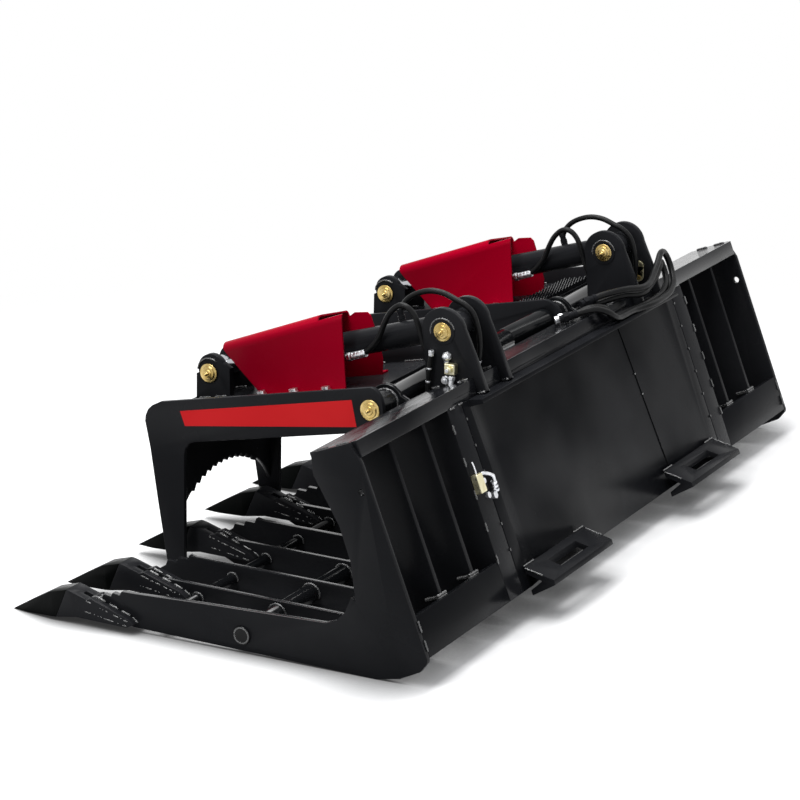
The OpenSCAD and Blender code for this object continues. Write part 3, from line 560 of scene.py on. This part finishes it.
def plumbCylinder(side, word):
    shift = side * cylX
    barrel = "barrel_" + word
    rodSide = addHose("rod_side_hose_" + word, rodSideRoute, hoseSet["radius"], shift)
    baseSide = addHose("base_side_hose_" + word, baseSideRoute, hoseSet["radius"], shift)
    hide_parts("hoses_" + word)
    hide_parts("hoses_" + word)
    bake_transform(rodSide)
    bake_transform(baseSide)
    for route, name in ((rodSideRoute, "rod_side"), (baseSideRoute, "base_side")):
        for end, body in ((0, barrel), (1, "frame")):
            bm = bmesh.new()
            if (name, end) == ("rod_side", 0):
                addSwage(bm, shift)
            plain = (name, end) == ("base_side", 0)
            addCoupling(bm, route, shift, hoseSet["radius"], end, plain)
            slotName = "black_paint" if plain else "bright_zinc"
            finishPiece(bm, f"{name}_coupling_{word}_{end}", materials[slotName], body,
                        edge=0.5)


plumbCylinder(-1, "left")
plumbCylinder(1, "right")
innerLead = addHose("lead_hose_inner", leadRoute, hoseSet["leadRadius"])
outerLead = addHose("lead_hose_outer", outerLeadRoute, hoseSet["leadRadius"])
for lead in (innerLead, outerLead):
    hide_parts("lead_hoses")
    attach(lead, "frame")
for name, route in (("inner", leadRoute), ("outer", outerLeadRoute)):
    for end in (0, 1):
        bm = bmesh.new()
        addCoupling(bm, route, 0, hoseSet["leadRadius"], end)
        slotName = "bright_zinc" if (name, end) == ("inner", 0) else "black_paint"
        finishPiece(bm, f"lead_coupling_{name}_{end}", materials[slotName], "frame",
                    edge=0.5)
print("hoses plumbed")

# Welds: rippled beads in the corners where plates meet. Each swells and shrinks from point to
# point and thins at its tips. The rows on the adaptors are dropped on them from the side, between
# reach and seat from the middle, and gaps is the share of their points that is left out
beadSet = {"radius": 3.2, "step": 2.6, "ripple": 0.16, "swell": (0.4, 1.4), "wander": 0.4,
           "tip": 0.6, "reach": 45, "seat": 4, "gaps": 0.3}
chance = random.Random(5)


def spaced(run, step):
    line = [run[0]]
    for a, b in zip(run, run[1:]):
        count = max(1, round((b - a).length / (step * mm)))
        line += [a.lerp(b, k / count) for k in range(1, count + 1)]
    return line


def addBeads(name, body, runs, radius):
    s = beadSet
    lines, thickness = [], []
    for run in runs:
        line = spaced(run, s["step"])
        last = len(line) - 1
        lines.append([p + Vector([chance.uniform(-1, 1) * s["wander"] * mm for axis in range(3)])
                      for p in line])
        swells = [1 + s["ripple"] * (-1) ** k * chance.uniform(*s["swell"])
                  for k in range(last + 1)]
        thickness.append([swell * (s["tip"] if k in (0, last) else 1)
                          for k, swell in enumerate(swells)])
    dress(tubeAlong(name, lines, radius, 1, thickness), weldMaterial, body)


def bar(a, b):
    return [spot(*a), spot(*b)]


def hoop(x, y, z, radius, start=0, end=360, count=24):
    angles = [math.radians(start + (end - start) * k / count) for k in range(count + 1)]
    return [spot(x, y + radius * math.cos(a), z + radius * math.sin(a)) for a in angles]


def stitches(a, b, count, share):
    a, b = Vector(a), Vector(b)
    return [bar(a.lerp(b, (k + 0.5 - share / 2) / count), a.lerp(b, (k + 0.5 + share / 2) / count))
            for k in range(count)]


# The two end plates and the tines between them: face is where a weld lies from a plate's middle.
# The toothed ones are listed with their adaptors' ends (y, z)
tineSet = {"count": 15, "first": -984.5, "pitch": 1969.0 / 14, "face": 7, "adaptorFace": 8}
tinePlaces = [tineSet["first"] + tineSet["pitch"] * i for i in range(tineSet["count"])]
longTooth, shortTooth = (873, 62), (831, 84)
toothed = {0: longTooth, 7: longTooth, 14: longTooth,
           **{i: shortTooth for i in (1, 3, 5, 9, 11, 13)}}
# The tube and the rod through the tines, with their welds, and the dark discs of painted shade on
# the tube's open ends
crossTube = {"y": 439, "z": 34.5, "weld": 21.5, "points": 24, "end": 993, "endWeld": 17,
             "boreShade": 15, "boreShadeLength": 2.1}
frontRod = {"y": 640, "z": 31.5, "weld": 13.5, "points": 14}


def tineWelds():
    runs = []
    for i, x in enumerate(tinePlaces):
        for face in (-1, 1):
            if (i, face) in ((0, -1), (14, 1)):  # the end plates' outer faces have none
                continue
            for s in (crossTube, frontRod):
                side = x + face * tineSet["face"]
                runs.append(hoop(side, s["y"], s["z"], s["weld"], 20, 200, s["points"]))
    return runs


# Seams on an adaptor, as (back, down) from its end: stitched ones with count and share, and rows
adaptorSeams = (((158, 38), (64, 9), 3, 0.7), ((174, 49), (159, 39), 1, 0.9),
                ((150, 60), (60, 60), 3, 0.5))
adaptorEdges = (((52, 16), (158, 44)), ((46, 40), (166, 56)))


def adaptorWelds():
    runs = []
    for i, (y, z) in toothed.items():
        for face in (-1, 1):
            x = tinePlaces[i] + face * tineSet["adaptorFace"]
            for near, far, count, share in adaptorSeams:
                ends = [(x, y - back, z - down) for back, down in (near, far)]
                runs += stitches(*ends, count, share)
    return runs


def landedRuns(shape, start, end, face):
    # Points along a line, each dropped sideways on the surface; the run breaks where there is none
    s = beadSet
    start, end = Vector(start), Vector(end)
    count = max(2, round((end - start).length / s["step"]))
    inward = parked.to_3x3() @ Vector((-face, 0, 0))
    runs, run = [], []
    for k in range(count + 1):
        place = start.lerp(end, k / count)
        origin = spot(place.x + face * s["reach"], place.y, place.z)
        hit = shape.ray_cast(origin, inward, (s["reach"] - s["seat"]) * mm)[0]
        if hit is not None and chance.random() > s["gaps"]:
            run.append(hit)
        else:
            if len(run) > 1:
                runs.append(run)
            run = []
    return runs + ([run] if len(run) > 1 else [])


def adaptorRows():
    holder = nodes["tooth_adaptors"]
    shape = BVHTree.FromPolygons([holder.matrix_world @ v.co for v in holder.data.vertices],
                                 [list(f.vertices) for f in holder.data.polygons])
    runs = []
    for i, (y, z) in toothed.items():
        for face in (-1, 1):
            for edge in adaptorEdges:
                ends = [(tinePlaces[i], y - back, z - down) for back, down in edge]
                runs += landedRuns(shape, *ends, face)
    return runs


# The bars that stand clear of the loader plate: welds at the foot, then (forward, up) on each side
louvreSet = {"tines": (1, 2, 12, 13), "half": 19, "forward": 13, "heights": (92, 97),
             "sides": (((16, 94), (50, 94)), ((18, 456), (105, 456)))}


def louvreWelds():
    s = louvreSet
    runs = []
    for i in s["tines"]:
        x = tinePlaces[i]
        for height in s["heights"]:
            runs.append(bar(backPoint(x - s["half"], s["forward"], height),
                            backPoint(x + s["half"], s["forward"], height)))
        for face in (-1, 1):
            side = x + face * tineSet["face"]
            runs += [bar(backPoint(side, *near), backPoint(side, *far)) for near, far in s["sides"]]
    return runs


# Seams on the back, alike on both sides, as (out, forward, up): stitched ones with count and
# share, then the solid ones round the slot brackets
backSeams = (((617, -1, 60), (617, -1, 425), 5, 0.28), ((553, -1, 70), (553, -1, 425), 6, 0.1),
             ((978.5, -1, 8), (978.5, -1, 90), 2, 0.6),
             ((978.5, 10, 468), (978.5, 110, 468), 2, 0.6),
             ((617, -1, 431), (540, -1, 431), 2, 0.5))
bracketSeams = (((226, -1, 51), (275, -1, 51)), ((475, -1, 51), (524, -1, 51)),
                ((226, -3, 46), (226, -40, 22)), ((524, -3, 46), (524, -40, 22)))


def onBack(side, place):
    out, forward, along = place
    return backPoint(side * out, forward, along)


def backWelds():
    runs = []
    for side in (-1, 1):
        for near, far, count, share in backSeams:
            runs += stitches(onBack(side, near), onBack(side, far), count, share)
        runs += [bar(onBack(side, near), onBack(side, far)) for near, far in bracketSeams]
    return runs


# Faces of a pair of base ears from the cylinder's middle, each with the bead's stand-off; the
# foot's stitches and the welds at its ends as (forward, up)
earSet = {"faces": ((-64, -1.5), (-48, 1.5), (48, -1.5), (64, 1.5)),
          "foot": ((4, 468), (114, 468)), "count": 3, "share": 0.62,
          "ends": (((-2, 433), (-20, 432)), ((119, 445), (119, 464)))}


def earWelds():
    s = earSet
    runs = []
    for side in (-1, 1):
        for face, off in s["faces"]:
            x = side * cylX + face + off
            runs += stitches(*[backPoint(x, *end) for end in s["foot"]], s["count"], s["share"])
            runs += [bar(backPoint(x, *near), backPoint(x, *far)) for near, far in s["ends"]]
    return runs


# The lugs that carry each pivot tube stand at these shares of its length
pivotSet = {"shares": (-0.32, 0.32), "length": 421, "faces": (-7, 7), "y": 333, "z": 445,
            "radius": 29, "foot": ((119, 436), (119, 464))}


def pivotWelds():
    s = pivotSet
    runs = []
    for side in (-1, 1):
        for share in s["shares"]:
            for face in s["faces"]:
                x = side * armSet["middle"] + share * s["length"] + face
                runs.append(hoop(x, s["y"], s["z"], s["radius"]))
                runs.append(bar(*[backPoint(x, *end) for end in s["foot"]]))
    return runs


# The welded collar round each pin's hole shows as an arc above the pin: its face from the
# cylinder's middle, then y, z, radius, first and last angle, points
pinArcs = {"base": (64.8, 242, 593, 29.5, -15, 165, 24), "rod": (52.6, 849, 415, 32, 5, 125, 16)}


def arcsAbove(pin, side):
    out, *arc = pinArcs[pin]
    return [hoop(side * cylX + face * out, *arc) for face in (-1, 1)]


def baseArcs():
    return arcsAbove("base", -1) + arcsAbove("base", 1)


def tubeEnds():
    s = crossTube
    return [hoop(side * s["end"], s["y"], s["z"], s["endWeld"]) for side in (-1, 1)]


# Stitches between an arm's deck and its plates, from the arm's middle, and at the rod ears' feet,
# from the cylinder's middle: first and last place along the arm, count, share
deckSeams = {"offsets": (-197, 197), "along": (400, 892), "count": 5, "share": 0.5}
earSeams = {"offsets": (-53.5, -34.5, 34.5, 53.5), "along": (798, 884), "count": 2, "share": 0.7}


def armSeam(x, s):
    ends = [(x, y, armTop(y) - armSet["deck"]) for y in s["along"]]
    return stitches(*ends, s["count"], s["share"])


def armWelds(side):
    runs = []
    for offset in deckSeams["offsets"]:
        runs += armSeam(side * armSet["middle"] + offset, deckSeams)
    for offset in earSeams["offsets"]:
        runs += armSeam(side * (cylX + offset), earSeams)
    return runs


frameWelds = (("tine_welds", tineWelds, beadSet["radius"]), ("adaptor_welds", adaptorWelds, 3.6),
              ("adaptor_weld_rows", adaptorRows, 1.9), ("louvre_welds", louvreWelds, 4.2),
              ("back_welds", backWelds, 2.4), ("ear_welds", earWelds, 4.0),
              ("pivot_welds", pivotWelds, 3.6), ("pin_collar_welds", baseArcs, 2.4),
              ("tube_end_welds", tubeEnds, 2.6))
for name, layOut, radius in frameWelds:
    addBeads(name, "frame", layOut(), radius)
for side, word in ((-1, "left"), (1, "right")):
    addBeads("arm_welds_" + word, "arm_" + word, armWelds(side), beadSet["radius"])
    addBeads("rod_ear_welds_" + word, "arm_" + word, arcsAbove("rod", side), 2.2)
print("welds laid")


# The loader plate's upright seam as (x, up), tacked in two places
seamSet = {"route": ((241, 412), (243, 394), (253, 260), (266, 96), (270, 52)), "forward": 5.6,
           "radius": 1.5, "tacks": ((255, 238), (250, 290)), "half": 4, "tackForward": 5,
           "tackRadius": 2.6}


def addSeam():
    s = seamSet
    route = [spot(*backPoint(x, s["forward"], along)) for x, along in s["route"]]
    seam = tubeAlong("loader_seam", [route], s["radius"], 1)
    dress(seam, materials["tooth_paint"], "frame")
    tacks = [bar(backPoint(x - s["half"], s["tackForward"], along),
                 backPoint(x + s["half"], s["tackForward"], along)) for x, along in s["tacks"]]
    addBeads("loader_tacks", "frame", tacks, s["tackRadius"])


# A dark disc on each end of the cross tube is painted shade: it stands for the shadowed open bore,
# not a real plug
def addBoreShades():
    s = crossTube
    bm = bmesh.new()
    for side in (-1, 1):
        addDrum(bm, (side * s["end"], s["y"], s["z"]), (side, 0, 0), s["boreShade"], s["boreShadeLength"])
    finishPiece(bm, "tube_bore_shades", materials["black_rubber"], "frame", edge=0.5)


addSeam()
addBoreShades()


# Grease nipples in the pins (the base and rod ones are placed from the cylinder's middle), and
# the collars that the base pins' heads sit on
nippleSet = {"hex": 4.4, "hexLength": 3.2, "neck": 2.4, "neckLength": 3, "ball": 3.1, "ballAt": 4,
             "base": (-73.1, 242, 593), "rod": (-61.6, 851, 412), "pivot": (641.5, 333, 445)}
collarSet = {"face": 64, "y": 242, "z": 593, "radius": 28.5, "length": 1.8}


def addNipple(name, body, x, y, z, face):
    s = nippleSet
    bm = bmesh.new()
    addDrum(bm, (x, y, z), (face, 0, 0), s["hex"], s["hexLength"], 6)
    addDrum(bm, (x + face * s["hexLength"], y, z), (face, 0, 0), s["neck"], s["neckLength"], 12)
    addBall(bm, (x + face * (s["hexLength"] + s["ballAt"]), y, z), s["ball"])
    finishPiece(bm, name, materials["yellow_zinc"], body)


def addNipples():
    for side, word in ((-1, "left"), (1, "right")):
        for pin, body in (("base", "frame"), ("rod", "rod_" + word)):
            x, y, z = nippleSet[pin]
            addNipple(f"{pin}_nipple_{word}", body, side * cylX + x, y, z, -1)
        x, y, z = nippleSet["pivot"]
        addNipple("pivot_nipple_" + word, "arm_" + word, side * x, y, z, side)


def addCollars():
    s = collarSet
    bm = bmesh.new()
    for side in (-1, 1):
        for face in (-1, 1):
            addDrum(bm, (side * cylX + face * s["face"], s["y"], s["z"]), (face, 0, 0),
                    s["radius"], s["length"], 48)
    finishPiece(bm, "pin_collars", materials["black_paint"], "frame", edge=0.6)


addNipples()
addCollars()
print("pins finished")

# Relief block, its plugs and a short link hose on the left ear's outer face; x is from that face
earX = -476.03
left, up = (-1, 0, 0), (0, 0, 1)
reliefSet = {
    "block": ((earX - 9, 217, 516), (25, 24, 18)),
    "blockPlug": [((-18, 217, 516), left, 8.5, 8, 6)],
    "plugs": [((0, 229, 541), left, 10.5, 5, 6), ((-5, 229, 541), left, 9.6, 4, 24),
              ((-9, 229, 541), None, 9.0), ((-6, 229, 531), (0.1, 0, -1), 6, 9, 6),
              ((-26, 217, 516), left, 4.5, 4, 20), ((0, 231, 488), left, 10.5, 7, 6),
              ((-7, 231, 488), left, 7.6, 7, 24), ((-14, 231, 488), left, 4.2, 4, 20),
              ((-9, 214, 500), (-0.2, 0.1, -1), 8, 9, 6),
              ((-11, 214, 491), (-0.2, 0.1, -1), 6, 12, 20), ((0, 198, 484), left, 6.5, 5, 6)],
    "link": [(-8, 266, 544), (-10, 268, 526), (-11, 270, 500), (-10, 273, 472), (-8, 275, 448)],
    "linkRadius": 5.0,
    "linkEnds": [((-8, 266, 538), up, 6.5, 13, 6), ((0, 266, 546), left, 5, 12, 20),
                 ((-8, 275, 440), up, 6.5, 13, 6), ((-10, 272, 478), (0, 0.05, 1), 6.2, 4, 20),
                 ((-11, 269, 508), (0, 0.05, 1), 6.2, 4, 20)]}


def addReliefBlock():
    s = reliefSet
    place, size = s["block"]
    bm = bmesh.new()
    addBlock(bm, place, (1, 0, 0), size)
    addTurned(bm, s["blockPlug"], earX)
    finishPiece(bm, "relief_block", paleZinc, "frame", edge=2.2)
    bm = bmesh.new()
    addTurned(bm, s["plugs"], earX)
    finishPiece(bm, "relief_plugs", materials["bright_zinc"], "frame", edge=0.7)
    line = [spot(earX + x, y, z) for x, y, z in s["link"]]
    link = tubeAlong("ear_link_hose", [line], s["linkRadius"], 2)
    dress(link, materials["black_rubber"], "frame")
    bm = bmesh.new()
    addTurned(bm, s["linkEnds"], earX)
    finishPiece(bm, "ear_link_ends", materials["bright_zinc"], "frame", edge=0.6)


# Keeper plate inside the far ear; x is from the cylinder's middle
keeperSet = {"rounds": [((48, 198, 517), left, 14, 5, 48), ((48, 198, 541), left, 14, 5, 48)],
             "block": ((cylX + 45.5, 198, 529), (28, 24, 5)),
             "bolt": [((43, 198, 514), left, 7.5, 4.5, 6)]}


def addKeeper():
    s = keeperSet
    place, size = s["block"]
    bm = bmesh.new()
    addTurned(bm, s["rounds"], cylX)
    addBlock(bm, place, (1, 0, 0), size)
    finishPiece(bm, "pin_keeper", paleZinc, "frame", edge=0.8)
    bm = bmesh.new()
    addTurned(bm, s["bolt"], cylX)
    finishPiece(bm, "keeper_bolt", materials["yellow_zinc"], "frame", edge=0.5)


addReliefBlock()
addKeeper()


# Latch on the left side strip: a block, a wire stem and a hasp with its nuts, as (x, forward, up)
outward = (0, -0.9326, 0.3608)  # square to the leaning back
downHasp = (-0.16, 0, 1)
latchSet = {
    "block": ((-603, -9, 262), (25, 42, 18)),
    "wire": ((-597, -5, 309), (-600, -8, 300), (-601, -9, 290), (-602, -9, 282)),
    "hasp": ((-592, -10, 279), (-582, -13, 279), (-560, -14, 271), (-546, -14, 263),
             (-544, -12, 252), (-548, -8, 232)),
    "wireRadius": 2.2, "haspRadius": 4.2,
    "nuts": [((-545, -9, 246), downHasp, 7.4, 5, 12), ((-545, -9, 238), downHasp, 7.4, 5, 12),
             ((-545, -9, 230), downHasp, 7.4, 5, 12), ((-550, 0, 222), outward, 9, 9, 6),
             ((-572, 0, 228), outward, 7.5, 7, 6), ((-581, 0, 262), outward, 6.5, 12, 20)]}


def addStripLatch():
    s = latchSet
    place, size = s["block"]
    bm = bmesh.new()
    addBlock(bm, backPoint(*place), outward, size)
    finishPiece(bm, "latch_block", paleZinc, "frame", edge=3.0)
    for word in ("wire", "hasp"):
        route = [spot(*backPoint(*place)) for place in s[word]]
        piece = tubeAlong("latch_" + word, [route], s[word + "Radius"], 2)
        dress(piece, materials["bright_zinc"], "frame")
    bm = bmesh.new()
    addTurned(bm, [(backPoint(*place), *rest) for place, *rest in s["nuts"]])
    finishPiece(bm, "latch_nuts", materials["bright_zinc"], "frame", edge=0.6)


addStripLatch()
print("small hardware set")

# Floor and soft studio light: the floor's grey for the light it throws back and as it is seen,
# its own glow, where it fades to white (metres), and the painted contact shadow's reach, tone and
# edges
studio = {"floor": 0.5, "seenFloor": 0.9, "lift": 0.26, "near": 1.5, "far": 2.6, "world": 0.3,
          "contact": 0.17, "deepest": 0.12, "edges": (0.3, 0.95), "patches": (-0.015, 0.01),
          "half": 14, "below": 0.5}
seenRays = ("Is Camera Ray", "Is Glossy Ray", "Is Transmission Ray")


def sees(tree, kinds):
    # 1 for the rays that see the floor or the world itself, 0 for those that carry its light
    path = tree.nodes.new("ShaderNodeLightPath")
    total = path.outputs[kinds[0]]
    for kind in kinds[1:]:
        add = tree.nodes.new("ShaderNodeMath")
        add.operation = "ADD"
        add.use_clamp = True
        tree.links.new(total, add.inputs[0])
        tree.links.new(path.outputs[kind], add.inputs[1])
        total = add.outputs[0]
    return total


def mixShaders(tree, factor, first, second):
    mix = tree.nodes.new("ShaderNodeMixShader")
    tree.links.new(factor, mix.inputs["Fac"])
    tree.links.new(first, mix.inputs[1])
    tree.links.new(second, mix.inputs[2])
    return mix.outputs["Shader"]


def floorMaterial():
    material, tree, shader = newMaterial("paleFloor", grey(studio["floor"]), 0.7)
    seen = tree.nodes.new("ShaderNodeBsdfDiffuse")
    dark, light = [grey(studio["seenFloor"] + shift) for shift in studio["patches"]]
    patches = ramp(tree, noise(tree, 1.4, 3.0), dark, light)
    # Painted shadow: ambient occlusion darkens the floor's seen colour and its glow near the object
    closeness = tree.nodes.new("ShaderNodeAmbientOcclusion")
    closeness.samples = 12
    closeness.inputs["Distance"].default_value = studio["contact"]
    shade = ramp(tree, closeness.outputs["AO"], grey(studio["deepest"]), grey(1), *studio["edges"])
    shaded = tree.nodes.new("ShaderNodeVectorMath")
    shaded.operation = "MULTIPLY"
    tree.links.new(patches, shaded.inputs[0])
    tree.links.new(shade, shaded.inputs[1])
    tree.links.new(shaded.outputs["Vector"], seen.inputs["Color"])
    lift = tree.nodes.new("ShaderNodeEmission")
    lift.inputs["Strength"].default_value = studio["lift"]
    tree.links.new(shade, lift.inputs["Color"])
    both = tree.nodes.new("ShaderNodeAddShader")
    tree.links.new(seen.outputs[0], both.inputs[0])
    tree.links.new(lift.outputs[0], both.inputs[1])
    white = tree.nodes.new("ShaderNodeEmission")
    where = tree.nodes.new("ShaderNodeTexCoord")
    length = tree.nodes.new("ShaderNodeVectorMath")
    length.operation = "LENGTH"
    tree.links.new(where.outputs["Object"], length.inputs[0])
    fade = tree.nodes.new("ShaderNodeMapRange")
    fade.interpolation_type = "SMOOTHSTEP"
    fade.inputs["From Min"].default_value = studio["near"]
    fade.inputs["From Max"].default_value = studio["far"]
    tree.links.new(length.outputs["Value"], fade.inputs["Value"])
    faded = mixShaders(tree, fade.outputs["Result"], both.outputs[0], white.outputs[0])
    tree.links.new(mixShaders(tree, sees(tree, seenRays), shader.outputs[0], faded),
                   tree.nodes["Material Output"].inputs["Surface"])
    return material


def addFloor():
    bm = bmesh.new()
    bmesh.ops.create_grid(bm, x_segments=1, y_segments=1, size=studio["half"])
    mesh = bpy.data.meshes.new("floor")
    bm.to_mesh(mesh)
    bm.free()
    floor = bpy.data.objects.new("floor", mesh)
    bpy.context.scene.collection.objects.link(floor)
    mesh.materials.append(floorMaterial())
    floor.location.z = -studio["below"] * mm


lamps = {
    "overheadSoftbox": {"place": (0.0, 0.3, 3.2), "aim": (0, 0.1, 0.2), "size": (2.4, 1.8),
                        "power": 112},
    "leftStrip": {"place": (-2.4, 0.5, 2.5), "aim": (-0.4, 0, 0.3), "size": (0.4, 2.2),
                  "power": 32},
    "rearStrip": {"place": (-1.6, -2.9, 2.3), "aim": (0, 0, 0.3), "size": (2.2, 0.35),
                  "power": 9, "color": (0.93, 0.96, 1.0)},
    "farStrip": {"place": (1.8, -1.4, 2.6), "aim": (0.3, 0, 0.3), "size": (0.3, 1.8), "power": 9}}


def addLamp(name, place, aim, size, power, color=(1, 1, 1)):
    data = bpy.data.lights.new(name, "AREA")
    data.shape = "RECTANGLE"
    data.size, data.size_y = size
    data.energy = power
    data.color = color
    lamp = bpy.data.objects.new(name, data)
    bpy.context.scene.collection.objects.link(lamp)
    lamp.location = place
    lamp.rotation_euler = (Vector(aim) - Vector(place)).to_track_quat("-Z", "Y").to_euler()


def addWorld():
    world = bpy.data.worlds.new("studioWorld")
    bpy.context.scene.world = world
    world.use_nodes = True
    tree = world.node_tree
    sky = tree.nodes["Background"]
    sky.inputs["Color"].default_value = (0.93, 0.95, 1.0, 1)
    sky.inputs["Strength"].default_value = studio["world"]
    seen = tree.nodes.new("ShaderNodeBackground")
    seen.inputs["Color"].default_value = (1, 1, 1, 1)
    tree.links.new(mixShaders(tree, sees(tree, seenRays), sky.outputs[0], seen.outputs[0]),
                   tree.nodes["World Output"].inputs["Surface"])


addFloor()
addWorld()
for name, settings in lamps.items():
    addLamp(name, **settings)
bpy.context.scene.view_settings.view_transform = "Standard"
print("studio ready")
